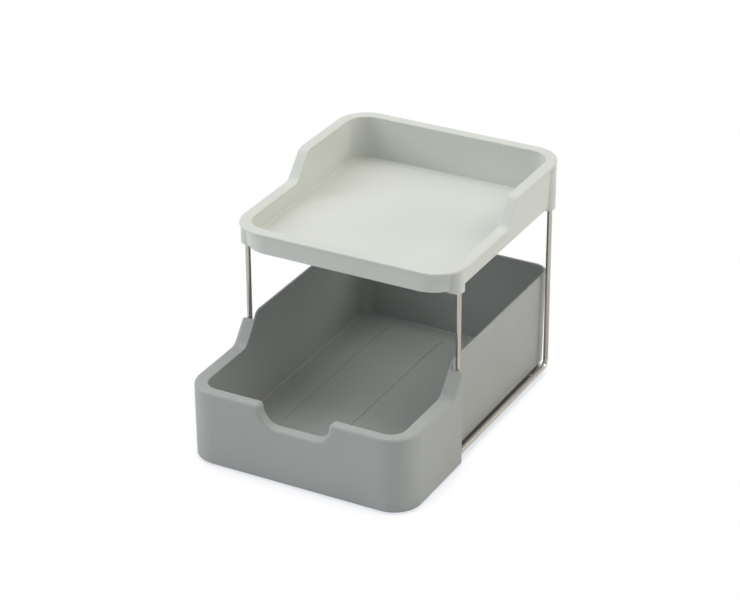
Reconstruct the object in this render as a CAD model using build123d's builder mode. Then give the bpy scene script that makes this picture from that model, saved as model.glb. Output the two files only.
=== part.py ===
"""Two-tier kitchen organiser: a shelf tray on wire legs, with a drawer that slides out under it.

Frame: +Z up, the drawer opens towards -Y, +X to the right. The origin is the middle of the footprint,
on the surface that the organiser stands on. Millimetres.
"""

import os
from math import cos, radians, sin, tan

from build123d import *

os.makedirs("parts", exist_ok=True)

clear = 300.0  # size of blocks that only cut, always larger than the part
margin = 10.0  # how far a form runs on past the surface that trims it

# ---- overall ----
overall_width = 188.6
overall_depth = 266.6
front = -overall_depth / 2  # the drawer's front face
back = overall_depth / 2  # the shelf tray's rear edge

# ---- wire frame ----
wire_d = 4.0
wire_r = wire_d / 2
leg_x = 88.8
leg_front_y = front + 90.1
leg_rear_y = front + 246.7
leg_top_z = 159.5
wire_bend_r = 5.5
foot_pad_thickness = 0.8
cross_z = foot_pad_thickness + wire_r
weld_set_down = 0.5  # how far a rail sinks into the cross wire it is welded to
rail_z = cross_z + wire_d - weld_set_down
cross_half_length = 87.4
cross_y = {"front": front + 104.0, "rear": front + 230.0}
foot_x = 70.0
foot_length = 14.0
foot_width = 6.4
foot_round = 0.5
wire_tip = 0.5

# ---- drawer ----
drawer_gap = 1.0  # front skirt above the surface
drawer_half_width = 94.0
drawer_draft = 0.25
drawer_corner_r = 22.5
drawer_base_round = 2.0
drawer_low_z = 62.6
drawer_high_z = 85.8
drawer_step_y = front + 68.5
drawer_step_slope = 50.0
drawer_step_r = 9.0
wing_end_y = front + 87.8
wing_end_round = 0.5
rim_round = 3.0
bin_half_width = 84.4
bin_rear_y = front + 262.7
bin_corner_r = 13.0
bin_draft = 1.0
bin_base_z = cross_z + wire_r + 0.2
wall = 1.8
wall_edge_round = 0.6
bin_base_round = 2.0
cavity_front_y = front + 8.2
cavity_front_corner_r = 12.0
floor_round = 1.2
inner_edge_round = 0.8
grooves_x = (-50.0, 0.0, 50.0)
groove_width = 5.0
groove_depth = 0.4
groove_length = 220.0
scoop_floor_half = 15.5
scoop_low_r = 13.5
scoop_top_r = 3.3
scoop_reach = 15.0  # from the front face to inside the cavity
skin = 2.2  # outer skin and rim of the hollow sections
rib_thickness = 1.6
front_ribs_x = (-52.0, -18.0, 18.0, 52.0)
wing_ribs_y = (front + 40.0, front + 63.0)

# ---- shelf tray ----
tray_half_width = overall_width / 2
tray_front_y = front + 69.1
tray_base_z = 146.3
tray_low_z = 164.1
tray_high_z = 184.3
tray_step_y = front + 156.8
tray_step_slope = 47.0
tray_step_r = 8.0
tray_corner_r = 26.0
flange_thickness = 2.0
flange_overhang_side = 3.6  # rim beyond the skirt at the top of the low side walls
flange_overhang_end = 1.8
rim_width = 9.2
skirt_draft = 3.0
skirt_corner_r = 25.8
skirt_base_round = 1.6
tray_floor_z = tray_base_z + 3.0
basin_draft = 1.0
basin_floor_round = 0.8
flange_round = 0.8
flange_under_round = 0.4
rim_inner_round = 0.5
boss_r = 6.6
boss_inset = 2.2  # each socket column stands this far inboard of the leg's axis
boss_lead = 0.7  # and this far in front of it
boss_reach = 1.8  # it runs on inwards, into the skirt
boss_drop = 1.6  # below the tray's base
boss_mid_x = leg_x - boss_inset - boss_reach / 2
socket_mouth = 0.5
socket_d = wire_d + 0.1
socket_depth = leg_top_z - tray_base_z + boss_drop + 0.05


def lean(draft, height):
    """How far a wall with this draft moves outwards over a height."""
    return height * tan(radians(draft))


def stepped_block(y_start, z_low, z_high, slope, bend_r, drop=0.0):
    """A wide block whose top steps up from z_low to z_high in a double bend, lowered squarely by drop."""
    y_start += drop * tan(radians(slope / 2))
    z_low -= drop
    z_high -= drop
    bend_y = bend_r * sin(radians(slope))
    bend_z = bend_r * (1 - cos(radians(slope)))
    rise = z_high - z_low - 2 * bend_z
    run = rise / tan(radians(slope))
    y_top = y_start + run + 2 * bend_y
    y_near = front - margin
    y_far = back + margin
    with BuildPart() as block:
        with BuildSketch(Plane.YZ):
            with BuildLine():
                Line((y_near, 0), (y_near, z_low))
                Line((y_near, z_low), (y_start, z_low))
                CenterArc((y_start, z_low + bend_r), bend_r, -90, slope)
                Line((y_start + bend_y, z_low + bend_z), (y_top - bend_y, z_high - bend_z))
                CenterArc((y_top, z_high - bend_r), bend_r, 90 + slope, -slope)
                Line((y_top, z_high), (y_far, z_high))
                Line((y_far, z_high), (y_far, 0))
                Line((y_far, 0), (y_near, 0))
            make_face()
        extrude(amount=clear, both=True)
    return block.part


def tapered_box(half_width, y_near, y_far, near_r, far_r, z_low, z_high, draft=0.0, base_round=0.0):
    """A box with rounded corners whose walls lean outwards. Its sizes hold at z_low."""
    with BuildPart() as box:
        with BuildSketch(Plane.XY.offset(z_low)) as outline:
            with Locations((0, (y_near + y_far) / 2)):
                Rectangle(2 * half_width, y_far - y_near)
            fillet(outline.vertices().group_by(Axis.Y)[0], near_r)
            fillet(outline.vertices().group_by(Axis.Y)[-1], far_r)
        extrude(amount=z_high - z_low, taper=-draft)
        if base_round:
            fillet(box.faces().sort_by(Axis.Z)[0].edges(), base_round)
    return box.part


# ---------------------------------------------------------------- drawer
def drawer_top(drop=0.0):
    return stepped_block(
        drawer_step_y, drawer_low_z, drawer_high_z, drawer_step_slope, drawer_step_r, drop
    )


def drawer_front_box(inset, base_round=0.0):
    """The outer form of the drawer's thick front and its wings, or the form inset from it."""
    taper = lean(drawer_draft, drawer_low_z - drawer_gap)
    half_width = drawer_half_width - inset - taper
    y_near = front + inset + taper
    y_far = y_near + 2 * half_width
    corner_r = drawer_corner_r - inset
    z_top = drawer_high_z + 1
    return tapered_box(
        half_width, y_near, y_far, corner_r, corner_r, drawer_gap, z_top, drawer_draft, base_round
    )


def drawer_bin_box(inset, z_low, base_round):
    """The form of the bin between the legs: outside with no inset, the cavity when inset by the wall."""
    drop = lean(bin_draft, drawer_high_z - z_low)
    half_width = bin_half_width - inset - drop
    y_far = bin_rear_y - inset - drop
    y_near = cavity_front_y - wall + inset + lean(bin_draft, drawer_low_z - z_low)
    near_r = cavity_front_corner_r + wall - inset - lean(bin_draft, drawer_low_z - z_low)
    far_r = bin_corner_r - inset - drop
    return tapered_box(
        half_width, y_near, y_far, near_r, far_r, z_low, drawer_high_z + 1, bin_draft, base_round
    )


def scoop_block(grow):
    """The finger scoop in the front wall as a block to cut away, grown by a margin."""
    z_floor = drawer_low_z - scoop_low_r - scoop_top_r - grow
    z_turn = drawer_low_z - scoop_top_r
    z_top = drawer_low_z - grow
    low_r = scoop_low_r + grow
    top_r = scoop_top_r - grow
    x_turn = scoop_floor_half + low_r
    x_top = x_turn + top_r
    z_over = drawer_low_z + margin
    with BuildPart() as scoop:
        with BuildSketch(Plane.XZ.offset(-front + margin)):
            with BuildLine() as half:
                Line((0, z_floor), (scoop_floor_half, z_floor))
                CenterArc((scoop_floor_half, z_turn), low_r, -90, 90)
                CenterArc((x_top, z_turn), top_r, 180, -90)
                Line((x_top, z_top), (x_top, z_over))
                Line((x_top, z_over), (0, z_over))
                mirror(half.line, about=Plane.YZ)
            make_face()
        extrude(amount=-margin - scoop_reach)
    return scoop.part


def behind(y):
    """A block that takes away everything behind y."""
    with BuildPart() as block:
        with Locations((0, y, 0)):
            Box(clear, clear, clear, align=(Align.CENTER, Align.MIN, Align.CENTER))
    return block.part


# Hollow of the thick front: closed at the top and at the wing ends, open underneath, with ribs.
with BuildPart() as drawer_hollow:
    add(drawer_front_box(skin))
    add(drawer_top(skin), mode=Mode.INTERSECT)
    add(drawer_bin_box(0, bin_base_z, 0), mode=Mode.SUBTRACT)
    add(scoop_block(skin), mode=Mode.SUBTRACT)
    add(behind(wing_end_y - skin), mode=Mode.SUBTRACT)
    with Locations(*[(x, front, 0) for x in front_ribs_x]):
        Box(rib_thickness, 2 * drawer_corner_r, clear, mode=Mode.SUBTRACT)
    with Locations(*[(0, y, 0) for y in wing_ribs_y]):
        Box(clear, rib_thickness, clear, mode=Mode.SUBTRACT)

with BuildPart() as drawer_front:
    add(drawer_front_box(0, drawer_base_round))
    add(drawer_top(), mode=Mode.INTERSECT)
    add(scoop_block(0), mode=Mode.SUBTRACT)
    add(behind(wing_end_y), mode=Mode.SUBTRACT)
    upper_edges = drawer_front.edges().filter_by(
        lambda e: e.center().Z > drawer_low_z - scoop_low_r and e.center().Y < wing_end_y - 1
    )
    outline = upper_edges.filter_by(
        lambda e: abs(e.center().X) > bin_half_width or e.center().Y < front + 1
    )
    fillet(outline, rim_round)
    fillet(drawer_front.faces().sort_by(Axis.Y)[-1].edges(), wing_end_round)

with BuildPart() as drawer_bin:
    add(drawer_bin_box(0, bin_base_z, bin_base_round))
    add(drawer_top(), mode=Mode.INTERSECT)
    add(scoop_block(0), mode=Mode.SUBTRACT)
    bin_outline = drawer_bin.edges().filter_by(
        lambda e: e.center().Z > drawer_low_z - 2
        and (abs(e.center().X) > bin_half_width - bin_corner_r or e.center().Y > bin_rear_y - 1)
    )
    fillet(bin_outline, wall_edge_round)

with BuildPart() as drawer:
    add(drawer_front.part)
    add(drawer_hollow.part, mode=Mode.SUBTRACT)
    add(drawer_bin.part)
    add(drawer_bin_box(wall, bin_base_z + wall, floor_round), mode=Mode.SUBTRACT)
    inner_rim = drawer.edges(Select.LAST).filter_by(
        lambda e: e.center().Y > cavity_front_y - 0.1
        and (e.center().Z > drawer_low_z - 2 or abs(e.center().X) < scoop_floor_half + scoop_low_r)
        and e.center().Z > drawer_low_z - scoop_low_r - scoop_top_r - 1
    )
    fillet(inner_rim, inner_edge_round)
    with BuildSketch(Plane.XY.offset(bin_base_z + wall)):
        with Locations(*[(x, (front + bin_rear_y) / 2) for x in grooves_x]):
            SlotOverall(groove_length, groove_width, rotation=90)
    extrude(amount=-groove_depth, mode=Mode.SUBTRACT)
drawer.part.label = "drawer"
export_step(drawer.part, "parts/drawer.step")


# ---------------------------------------------------------------- shelf tray
def tray_top(drop=0.0):
    return stepped_block(tray_step_y, tray_low_z, tray_high_z, tray_step_slope, tray_step_r, drop)


def tray_skirt_box(inset, base_round):
    """The outer skirt's form, or the form inset from it."""
    drop = lean(skirt_draft, tray_low_z - tray_base_z)
    half_width = tray_half_width - flange_overhang_side - inset - drop
    y_near = tray_front_y + flange_overhang_end + inset + drop
    y_far = back - flange_overhang_end - inset - drop
    corner_r = skirt_corner_r - inset
    return tapered_box(
        half_width, y_near, y_far, corner_r, corner_r, tray_base_z, tray_high_z + 1, skirt_draft, base_round
    )


def tray_basin_box(inset, z_low, base_round):
    """The basin's outside, or its cavity when inset by the wall."""
    drop = lean(basin_draft, tray_low_z - z_low)
    half_width = tray_half_width - rim_width + wall - inset - drop
    y_near = tray_front_y + rim_width - wall + inset + drop
    y_far = back - rim_width + wall - inset - drop
    corner_r = tray_corner_r - rim_width + wall - inset - drop
    return tapered_box(
        half_width, y_near, y_far, corner_r, corner_r, z_low, tray_high_z + 1, basin_draft, base_round
    )


def outer_outline(builder, direction):
    """The outline edges of the flange's upper (1) or lower (-1) surface."""
    surface = builder.faces().filter_by(lambda f: direction * f.normal_at(f.center()).Z > 0.2)
    return surface.edges().filter_by(
        lambda e: abs(e.center().X) > 1 or e.center().Y < tray_front_y + 1 or e.center().Y > back - 1
    )


with BuildPart() as tray_flange:
    with BuildSketch(Plane.XY.offset(tray_base_z)):
        with Locations((0, (tray_front_y + back) / 2)):
            RectangleRounded(2 * tray_half_width, back - tray_front_y, tray_corner_r)
    extrude(amount=tray_high_z)
    add(tray_top(), mode=Mode.INTERSECT)
    add(tray_top(flange_thickness), mode=Mode.SUBTRACT)
    fillet(outer_outline(tray_flange, 1), flange_round)
    fillet(outer_outline(tray_flange, -1), flange_under_round)

# Room between the skirt and the basin, open underneath.
with BuildPart() as tray_hollow:
    add(tray_skirt_box(skin, 0))
    add(tray_top(skin), mode=Mode.INTERSECT)
    add(tray_basin_box(0, tray_floor_z - wall, 0), mode=Mode.SUBTRACT)

# Columns that hold the leg sockets. Each stands out from the skirt, just inside the flange's edge.
with BuildPart() as tray_bosses:
    with BuildSketch(Plane.XY.offset(tray_base_z - boss_drop)):
        for side in (-1, 1):
            with Locations(*[(side * boss_mid_x, y - boss_lead) for y in (leg_front_y, leg_rear_y)]):
                SlotCenterToCenter(boss_reach, 2 * boss_r)
    extrude(amount=tray_high_z)
    add(tray_top(flange_thickness / 2), mode=Mode.INTERSECT)

with BuildPart() as shelf_tray:
    add(tray_skirt_box(0, skirt_base_round))
    add(tray_top(flange_thickness / 2), mode=Mode.INTERSECT)
    add(tray_flange.part)
    add(tray_hollow.part, mode=Mode.SUBTRACT)
    add(tray_bosses.part)
    add(tray_basin_box(wall, tray_floor_z, basin_floor_round), mode=Mode.SUBTRACT)
    inner_rim = shelf_tray.edges(Select.LAST).filter_by(
        lambda e: e.center().Z > tray_low_z - 0.5
        and not (e.center().Y > back - rim_width - tray_corner_r and e.center().Z < tray_high_z - 1)
    )
    fillet(inner_rim, rim_inner_round)
    with BuildSketch(Plane.XY.offset(tray_base_z - boss_drop)):
        with Locations(*[(x, y) for x in (-leg_x, leg_x) for y in (leg_front_y, leg_rear_y)]):
            Circle(socket_d / 2)
    extrude(amount=socket_depth, mode=Mode.SUBTRACT)
    mouths = shelf_tray.edges().filter_by(GeomType.CIRCLE).filter_by(
        lambda e: abs(e.radius - socket_d / 2) < 0.01 and e.center().Z < tray_base_z - boss_drop + 0.1
    )
    chamfer(mouths, socket_mouth)
shelf_tray.part.label = "shelf_tray"
export_step(shelf_tray.part, "parts/shelf_tray.step")


# ---------------------------------------------------------------- wire frame
def side_wire(x):
    """One bent wire: front leg, bottom rail and rear leg."""
    with BuildPart() as wire:
        with BuildLine(Plane.YZ.offset(x)) as path:
            Polyline(
                (leg_front_y, leg_top_z), (leg_front_y, rail_z), (leg_rear_y, rail_z), (leg_rear_y, leg_top_z)
            )
            fillet(path.vertices().filter_by(lambda v: v.Z < rail_z + 1), wire_bend_r)
        with BuildSketch(Plane(origin=path.line @ 0, z_dir=path.line % 0)):
            Circle(wire_r)
        sweep()
        tips = wire.edges().filter_by(GeomType.CIRCLE).filter_by(lambda e: e.center().Z > leg_top_z - 0.1)
        chamfer(tips, wire_tip)
    return wire.part


with BuildPart() as side_wire_left:
    add(side_wire(-leg_x))
side_wire_left.part.label = "side_wire_left"
export_step(side_wire_left.part, "parts/side_wire_left.step")

with BuildPart() as side_wire_right:
    add(side_wire(leg_x))
side_wire_right.part.label = "side_wire_right"
export_step(side_wire_right.part, "parts/side_wire_right.step")

# The cross wires are welded under the rails, and each carries two pads that the organiser stands on.
for end, y in cross_y.items():
    with BuildPart() as cross_wire:
        with BuildSketch(Plane.YZ.offset(-cross_half_length)):
            with Locations((y, cross_z)):
                Circle(wire_r)
        extrude(amount=2 * cross_half_length)
        chamfer(cross_wire.edges().filter_by(GeomType.CIRCLE), wire_tip)
        add(side_wire_left.part, mode=Mode.SUBTRACT)
        add(side_wire_right.part, mode=Mode.SUBTRACT)
    cross_wire.part.label = f"cross_wire_{end}"
    export_step(cross_wire.part, f"parts/cross_wire_{end}.step")

    for side, x in (("left", -foot_x), ("right", foot_x)):
        with BuildPart() as foot:
            with BuildSketch(Plane.YZ.offset(x - foot_length / 2)):
                with Locations((y, cross_z / 2)):
                    Rectangle(foot_width, cross_z)
            extrude(amount=foot_length)
            fillet(foot.edges().filter_by(lambda e: e.center().Z < cross_z - 0.1), foot_round)
            with BuildSketch(Plane.YZ.offset(x - foot_length)):
                with Locations((y, cross_z)):
                    Circle(wire_r)
            extrude(amount=2 * foot_length, mode=Mode.SUBTRACT)
        foot.part.label = f"foot_{end}_{side}"
        export_step(foot.part, f"parts/foot_{end}_{side}.step")
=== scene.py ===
"""Looks for the tiered shelf riser: matte moulded plastic tray and drawer on a satin steel wire frame.

Lengths are in metres, noise scales in features per metre, angles in degrees. Azimuth 0 is the front (-Y)
and grows towards +X.
"""
from math import cos, radians, sin

import bpy
from mathutils import Matrix, Vector


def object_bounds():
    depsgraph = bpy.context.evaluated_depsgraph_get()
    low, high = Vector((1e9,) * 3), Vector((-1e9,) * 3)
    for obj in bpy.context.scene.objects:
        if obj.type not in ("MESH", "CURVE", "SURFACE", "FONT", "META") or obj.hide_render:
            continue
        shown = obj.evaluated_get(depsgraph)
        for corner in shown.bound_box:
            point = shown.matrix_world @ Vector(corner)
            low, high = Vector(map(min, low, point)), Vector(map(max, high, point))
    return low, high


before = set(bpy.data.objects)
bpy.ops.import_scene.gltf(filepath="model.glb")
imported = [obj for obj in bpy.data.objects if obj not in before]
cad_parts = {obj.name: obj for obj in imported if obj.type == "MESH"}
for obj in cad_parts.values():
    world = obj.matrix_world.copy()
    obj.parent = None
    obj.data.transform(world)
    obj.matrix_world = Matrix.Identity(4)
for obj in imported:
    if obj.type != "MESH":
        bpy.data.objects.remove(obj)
cad_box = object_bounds()
scene = bpy.context.scene

NOISE_LOW, NOISE_HIGH = 0.3, 0.7  # most of a noise's values lie between these
AO_SAMPLES = 16
EDGE_SAMPLES = 6


# ---------------------------------------------------------------- node helpers
class Shader:
    """A material's node tree, built by name."""

    def __init__(self, name):
        self.material = bpy.data.materials.new(name)
        self.material.use_nodes = True
        self.tree = self.material.node_tree
        self.tree.nodes.clear()
        self.out = self.node("ShaderNodeOutputMaterial")

    def node(self, kind, **inputs):
        """A node with its inputs set: a value is stored, a socket is linked. Names have _ for a space."""
        made = self.tree.nodes.new(kind)
        for name, value in inputs.items():
            self.put(made.inputs[name.replace("_", " ")], value)
        return made

    def put(self, socket, value):
        if isinstance(value, bpy.types.NodeSocket):
            self.tree.links.new(value, socket)
        else:
            socket.default_value = value

    def math(self, operation, a, b=0.0):
        made = self.tree.nodes.new("ShaderNodeMath")
        made.operation = operation
        self.put(made.inputs[0], a)
        self.put(made.inputs[1], b)
        return made.outputs[0]

    def ramp(self, value, low, high, to_low, to_high):
        """Maps low..high to to_low..to_high, clamped."""
        made = self.node("ShaderNodeMapRange", Value=value)
        made.clamp = True
        for name, number in (("From Min", low), ("From Max", high), ("To Min", to_low), ("To Max", to_high)):
            made.inputs[name].default_value = number
        return made.outputs["Result"]

    def spread(self, noise, to_low=0.0, to_high=1.0):
        """Stretches a noise's usual values over to_low..to_high."""
        return self.ramp(noise, NOISE_LOW, NOISE_HIGH, to_low, to_high)

    def mix(self, factor, a, b):
        """Colour a at factor 0, colour b at factor 1."""
        made = self.tree.nodes.new("ShaderNodeMix")
        made.data_type = "RGBA"
        self.put(made.inputs["Factor"], factor)
        self.put(made.inputs[6], a)
        self.put(made.inputs[7], b)
        return made.outputs[2]

    def place(self, stretch=(1, 1, 1)):
        """Object coordinates in metres, stretched per axis."""
        coords = self.tree.nodes.new("ShaderNodeTexCoord").outputs["Object"]
        made = self.node("ShaderNodeMapping", Vector=coords, Scale=stretch)
        return made.outputs["Vector"]

    def noise(self, scale, detail=2.0, stretch=(1, 1, 1)):
        made = self.node("ShaderNodeTexNoise", Vector=self.place(stretch), Scale=scale, Detail=detail)
        return made.outputs["Fac"]

    def inside(self, axis, low, high, soft):
        """1 between two planes across an axis of the object, 0 beyond them, soft over the given width."""
        coordinate = self.node("ShaderNodeSeparateXYZ", Vector=self.place()).outputs[axis]
        offset = self.math("ABSOLUTE", self.math("SUBTRACT", coordinate, (low + high) / 2))
        return self.ramp(offset, (high - low) / 2 - soft, (high - low) / 2, 1.0, 0.0)

    def edges(self, radius):
        """1 on sharp or tightly rounded edges, 0 on plain surfaces."""
        bevel = self.tree.nodes.new("ShaderNodeBevel")
        bevel.samples = EDGE_SAMPLES
        bevel.inputs["Radius"].default_value = radius
        geometry = self.tree.nodes.new("ShaderNodeNewGeometry")
        dot = self.tree.nodes.new("ShaderNodeVectorMath")
        dot.operation = "DOT_PRODUCT"
        self.put(dot.inputs[0], bevel.outputs["Normal"])
        self.put(dot.inputs[1], geometry.outputs["Normal"])
        sharp, flat = 0.72, 0.99
        return self.ramp(dot.outputs["Value"], sharp, flat, 1.0, 0.0)

    def openness(self, reach):
        """1 where nothing stands within reach of the surface, 0 where it is covered."""
        made = self.node("ShaderNodeAmbientOcclusion", Distance=reach)
        made.samples = AO_SAMPLES
        return made.outputs["AO"]

    def bump(self, height, strength, distance, normal=None):
        made = self.node("ShaderNodeBump", Height=height, Strength=strength, Distance=distance)
        if normal:
            self.put(made.inputs["Normal"], normal)
        return made.outputs["Normal"]

    def surface(self, **inputs):
        shader = self.node("ShaderNodeBsdfPrincipled", **inputs)
        self.put(self.out.inputs["Surface"], shader.outputs["BSDF"])
        return self.material


def tint(colour, red, green=None, blue=None):
    """The colour as RGBA with its channels scaled. One factor scales all three."""
    r, g, b = colour
    return (r * red, g * (red if green is None else green), b * (red if blue is None else blue), 1.0)


def moulded_plastic(name, colour, roughness):
    """Polypropylene from a spark-eroded mould: fine grain, faint flow clouding, edges smoother and with a
    painted highlight.
    """
    hazy, clear = tint(colour, 0.975, 0.975, 0.97), tint(colour, 1.02)
    # The lightest of these tints is a painted highlight, laid along the edges below.
    streaked, specked, lighter_edge = tint(colour, 0.96, 0.96, 0.955), tint(colour, 0.8), tint(colour, 1.12)
    cloud_scale, streak_scale, speck_scale, wear_and_highlight_scale = 14.0, 30.0, 1500.0, 90.0
    blotch_scale, wave_scale, grain_scale = 60.0, 45.0, 1150.0
    streak_stretch = (1.0, 1.0, 0.25)
    streak_limits, speck_limits = (0.45, 0.8), (0.62, 0.78)
    streak_depth, speck_depth, lighter_edge_depth = 0.25, 0.10, 0.25
    edge_radius, edge_polish, least_wear_and_highlight = 0.0012, 0.12, 0.35
    roughness_spread = 0.05
    wave_strength, wave_height = 0.07, 0.001
    grain_strength, grain_height = 0.35, 0.0001

    s = Shader(name)
    cloud = s.spread(s.noise(cloud_scale, detail=3.0))
    body = s.mix(cloud, hazy, clear)
    streak = s.ramp(s.noise(streak_scale, stretch=streak_stretch), *streak_limits, 0.0, streak_depth)
    body = s.mix(streak, body, streaked)
    speck = s.ramp(s.noise(speck_scale, detail=1.0), *speck_limits, 0.0, speck_depth)
    body = s.mix(speck, body, specked)
    # Painted highlight: the edge mask mixes the edges towards the lightest tint, where light would catch
    # them; the same mask makes the edges smoother.
    wear_and_highlight = s.spread(s.noise(wear_and_highlight_scale, detail=3.0), least_wear_and_highlight, 1.0)
    edge = s.math("MULTIPLY", s.edges(edge_radius), wear_and_highlight)
    body = s.mix(s.math("MULTIPLY", edge, lighter_edge_depth), body, lighter_edge)

    blotch = s.noise(blotch_scale, detail=4.0)
    rough = s.spread(blotch, roughness - roughness_spread, roughness + roughness_spread)
    rough = s.math("SUBTRACT", rough, s.math("MULTIPLY", edge, edge_polish))
    normal = s.bump(s.noise(wave_scale, detail=1.0), wave_strength, wave_height)
    normal = s.bump(s.noise(grain_scale), grain_strength, grain_height, normal)
    return s.surface(
        Base_Color=body, Roughness=rough, IOR=1.49, Normal=normal, Specular_IOR_Level=0.4, Sheen_Weight=0.04
    )


def drawn_steel(name, colour, stretch, bent=None):
    """Stainless wire: fine drawing lines along its length, faint heat tint.

    A bent wire stands between the two heights in bent and runs front to back beyond them. Its level runs are
    paler and rougher than its upright ones, and than a straight wire; the uprights and a straight wire carry
    painted shade.
    """
    groove, crest = tint(colour, 0.86), tint(colour, 1.0)
    # The dimmest tint is painted shade, for the upright runs and a straight wire.
    heated, painted_shade_steel = tint(colour, 0.95, 0.88, 0.78), tint(colour, 0.52, 0.50, 0.49)
    line_scale, tint_scale = 900.0, 25.0
    level_stretch = (1.0, 0.02, 1.0)
    bend_blend = 0.003
    heat_limits = (0.5, 0.8)
    heat_depth, painted_shade_depth = 0.3, 0.72
    smoothest, roughest, level_roughness = 0.16, 0.25, 0.11
    line_strength, line_height = 0.25, 0.00006

    s = Shader(name)
    lines = s.noise(line_scale, detail=3.0, stretch=stretch)
    level = 0.0
    if bent:
        upright = s.inside("Z", *bent, bend_blend)
        level_lines = s.noise(line_scale, detail=3.0, stretch=level_stretch)
        turned = s.math("MULTIPLY", upright, s.math("SUBTRACT", lines, level_lines))
        lines = s.math("ADD", level_lines, turned)
        level = s.math("SUBTRACT", 1.0, upright)
    body = s.mix(s.spread(lines), groove, crest)
    heat = s.ramp(s.noise(tint_scale, detail=3.0), *heat_limits, 0.0, heat_depth)
    body = s.mix(heat, body, heated)
    # Painted shade: all but the level runs of a bent wire is mixed far towards the dimmest tint, standing in
    # for the dim studio the steel reflects.
    painted_shade_body = s.mix(painted_shade_depth, body, painted_shade_steel)
    body = s.mix(level, painted_shade_body, body)
    rough = s.spread(lines, smoothest, roughest)
    rough = s.math("ADD", rough, s.math("MULTIPLY", level, level_roughness))
    normal = s.bump(lines, line_strength, line_height)
    return s.surface(Base_Color=body, Metallic=1.0, Roughness=rough, Normal=normal)


def rubber(name, colour):
    """Moulded rubber pad: dull, dusty in places, lighter on its edges."""
    clean, dusty, lighter_edge = tint(colour, 1.0), tint(colour, 2.2), tint(colour, 3.0)
    dust_scale, blotch_scale, grain_scale = 300.0, 200.0, 1800.0
    dust_limits = (0.45, 0.75)
    dust_depth, lighter_edge_depth, edge_radius = 0.35, 0.5, 0.0005
    smoothest, roughest = 0.62, 0.8
    grain_strength, grain_height = 0.4, 0.00008

    s = Shader(name)
    dust = s.ramp(s.noise(dust_scale, detail=4.0), *dust_limits, 0.0, dust_depth)
    body = s.mix(dust, clean, dusty)
    body = s.mix(s.math("MULTIPLY", s.edges(edge_radius), lighter_edge_depth), body, lighter_edge)
    rough = s.spread(s.noise(blotch_scale), smoothest, roughest)
    normal = s.bump(s.noise(grain_scale), grain_strength, grain_height)
    return s.surface(Base_Color=body, Roughness=rough, Normal=normal)


# ---------------------------------------------------------------- materials on the CAD nodes
pale_green_grey = (0.707, 0.722, 0.680)
sage_grey = (0.417, 0.429, 0.417)
warm_steel = (0.86, 0.815, 0.765)
black_rubber = (0.030, 0.030, 0.031)
matte = 0.50
along_x = (0.02, 1.0, 1.0)
along_z = (1.0, 1.0, 0.02)
bend = 0.006  # height of the bend between a leg and its rail

wire_corners = [Vector(corner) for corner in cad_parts["side_wire_right"].bound_box]
wire_low = Vector([min(corner[axis] for corner in wire_corners) for axis in range(3)])
wire_high = Vector([max(corner[axis] for corner in wire_corners) for axis in range(3)])

tray_plastic = moulded_plastic("tray_plastic", pale_green_grey, matte)
drawer_plastic = moulded_plastic("drawer_plastic", sage_grey, matte)
leg_steel = drawn_steel("wire_upright", warm_steel, along_z, (wire_low.z + bend, wire_high.z - bend))
cross_steel = drawn_steel("wire_across", warm_steel, along_x)
pad_rubber = rubber("foot_rubber", black_rubber)

finishes = {
    "shelf_tray": tray_plastic,
    "drawer": drawer_plastic,
    "side_wire": leg_steel,
    "cross_wire": cross_steel,
    "foot": pad_rubber,
}
for node_name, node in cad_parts.items():
    finish = next(m for start, m in finishes.items() if node_name.startswith(start))
    node.data.materials.clear()
    node.data.materials.append(finish)


# ---------------------------------------------------------------- floor, light and camera
def paper(name, inner, front, rear):
    """White backing paper. Light bounces off it as off paper, and the camera sees it burnt out to white
    but for a painted contact shadow, faint and cool beside the riser and deep between its two rails.
    The rails' inner sides stand at -inner and inner, and the painted deep shadow runs from front to rear."""
    fibre_scale = 400.0
    paper_low, paper_high = (0.90, 0.905, 0.91, 1), (0.92, 0.925, 0.93, 1)
    burnt_out, faint, deep = (1.0, 1.0, 1.0, 1), (0.74, 0.755, 0.80, 1), (0.055, 0.051, 0.043, 1)
    shadow_reach = 0.03
    rail_soft, end_soft = 0.001, 0.004
    deep_limits, faint_limits = (0.35, 0.65), (0.36, 0.66)

    s = Shader(name)
    tone = s.mix(s.spread(s.noise(fibre_scale, detail=4.0)), paper_low, paper_high)
    sheet = s.node("ShaderNodeBsdfDiffuse", Color=tone)
    cover = s.openness(shadow_reach)
    between_rails = s.math(
        "MULTIPLY", s.inside("X", -inner, inner, rail_soft), s.inside("Y", front, rear, end_soft)
    )
    # Painted shadow: how covered the floor is picks the faint and deep shadow colours, painted into the glow
    # that only the camera sees.
    depth = s.math("MULTIPLY", between_rails, s.ramp(cover, *deep_limits, 1.0, 0.0))
    shade = s.mix(s.ramp(cover, *faint_limits, 0.0, 1.0), faint, burnt_out)
    shade = s.mix(depth, shade, deep)
    glow = s.node("ShaderNodeEmission", Color=shade, Strength=1.0)
    seen = s.tree.nodes.new("ShaderNodeLightPath").outputs["Is Camera Ray"]
    both = s.tree.nodes.new("ShaderNodeMixShader")
    s.put(both.inputs[0], seen)
    s.put(both.inputs[1], sheet.outputs["BSDF"])
    s.put(both.inputs[2], glow.outputs["Emission"])
    s.put(s.out.inputs["Surface"], both.outputs["Shader"])
    return s.material


floor_size = 30.0
floor_gap = 0.0002  # below the pads, so that the two faces don't coincide
shadow_past_rail = 0.015  # the deep shadow runs on behind the rear legs

bpy.ops.mesh.primitive_plane_add(size=floor_size, location=(0.0, 0.0, cad_box[0].z - floor_gap))
floor = bpy.context.object
floor.name = "studio_floor"
floor.data.materials.append(paper("studio_paper", wire_low.x, wire_low.y, wire_high.y + shadow_past_rail))

sky_colour = (0.95, 1.0, 1.07, 1.0)
sky_strength = 0.245

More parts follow.
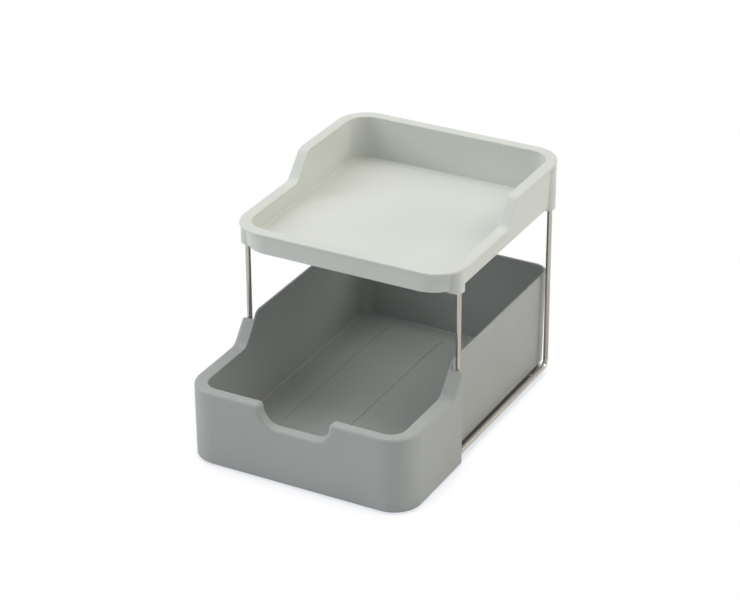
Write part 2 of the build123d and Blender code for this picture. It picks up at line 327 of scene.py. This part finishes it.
world = bpy.data.worlds.new("studio")
world.use_nodes = True
scene.world = world
sky = world.node_tree
sky.nodes["Background"].inputs["Color"].default_value = sky_colour
sky.nodes["Background"].inputs["Strength"].default_value = sky_strength


def towards(azimuth, elevation):
    """The unit vector that points that way."""
    a = radians(azimuth)
    e = radians(elevation)
    return Vector((sin(a) * cos(e), -cos(a) * cos(e), sin(e)))


def softbox(name, azimuth, elevation, distance, size, power, colour):
    """A square area light that faces the middle of the riser."""
    away = towards(azimuth, elevation)
    data = bpy.data.lights.new(name, "AREA")
    data.shape = "SQUARE"
    data.size = size
    data.energy = power
    data.color = colour
    light = bpy.data.objects.new(name, data)
    light.location = centre + away * distance
    light.rotation_mode = "QUATERNION"
    light.rotation_quaternion = away.to_track_quat("Z", "Y")
    scene.collection.objects.link(light)


centre = (cad_box[0] + cad_box[1]) / 2
greenish, warm, cool, warmest, neutral = (
    (0.96, 1.0, 0.96), (1.0, 0.96, 0.86), (0.93, 0.98, 1.0), (1.0, 0.95, 0.80), (0.98, 0.97, 1.0)
)
softbox("overhead", azimuth=150.0, elevation=72.0, distance=2.4, size=2.2, power=8.4, colour=greenish)
softbox("side_right", azimuth=120.0, elevation=33.0, distance=2.2, size=1.4, power=14.6, colour=warm)
softbox("front_fill", azimuth=-62.0, elevation=28.0, distance=2.2, size=1.2, power=16.0, colour=cool)
softbox("upper_right", azimuth=90.0, elevation=60.0, distance=2.4, size=1.4, power=11.0, colour=warmest)
softbox("upper_left", azimuth=-90.0, elevation=60.0, distance=2.4, size=1.4, power=18.0, colour=neutral)

# The camera was solved from the photograph's perspective.
camera_place = (0.83443, -1.55463, 1.01833)
camera_azimuth = 28.2256
camera_elevation = 27.4869
camera_roll = -0.2757
sensor_width = 36.0
focal_length = 127.555
shift_across, shift_up = -0.012203, -0.007756
nearest, farthest = 0.05, 60.0

camera_data = bpy.data.cameras.new("camera")
camera = bpy.data.objects.new("camera", camera_data)
scene.collection.objects.link(camera)
scene.camera = camera
back = towards(camera_azimuth, camera_elevation)
across = Vector((cos(radians(camera_azimuth)), sin(radians(camera_azimuth)), 0.0))
upward = back.cross(across)
roll = radians(camera_roll)
right = cos(roll) * across + sin(roll) * upward
up = cos(roll) * upward - sin(roll) * across
turn = Matrix((right, up, back)).transposed()
camera.matrix_world = Matrix.Translation(camera_place) @ turn.to_4x4()
camera_data.sensor_width = sensor_width
camera_data.lens = focal_length
camera_data.shift_x = shift_across
camera_data.shift_y = shift_up
camera_data.clip_start = nearest
camera_data.clip_end = farthest

scene.view_settings.view_transform = "Standard"
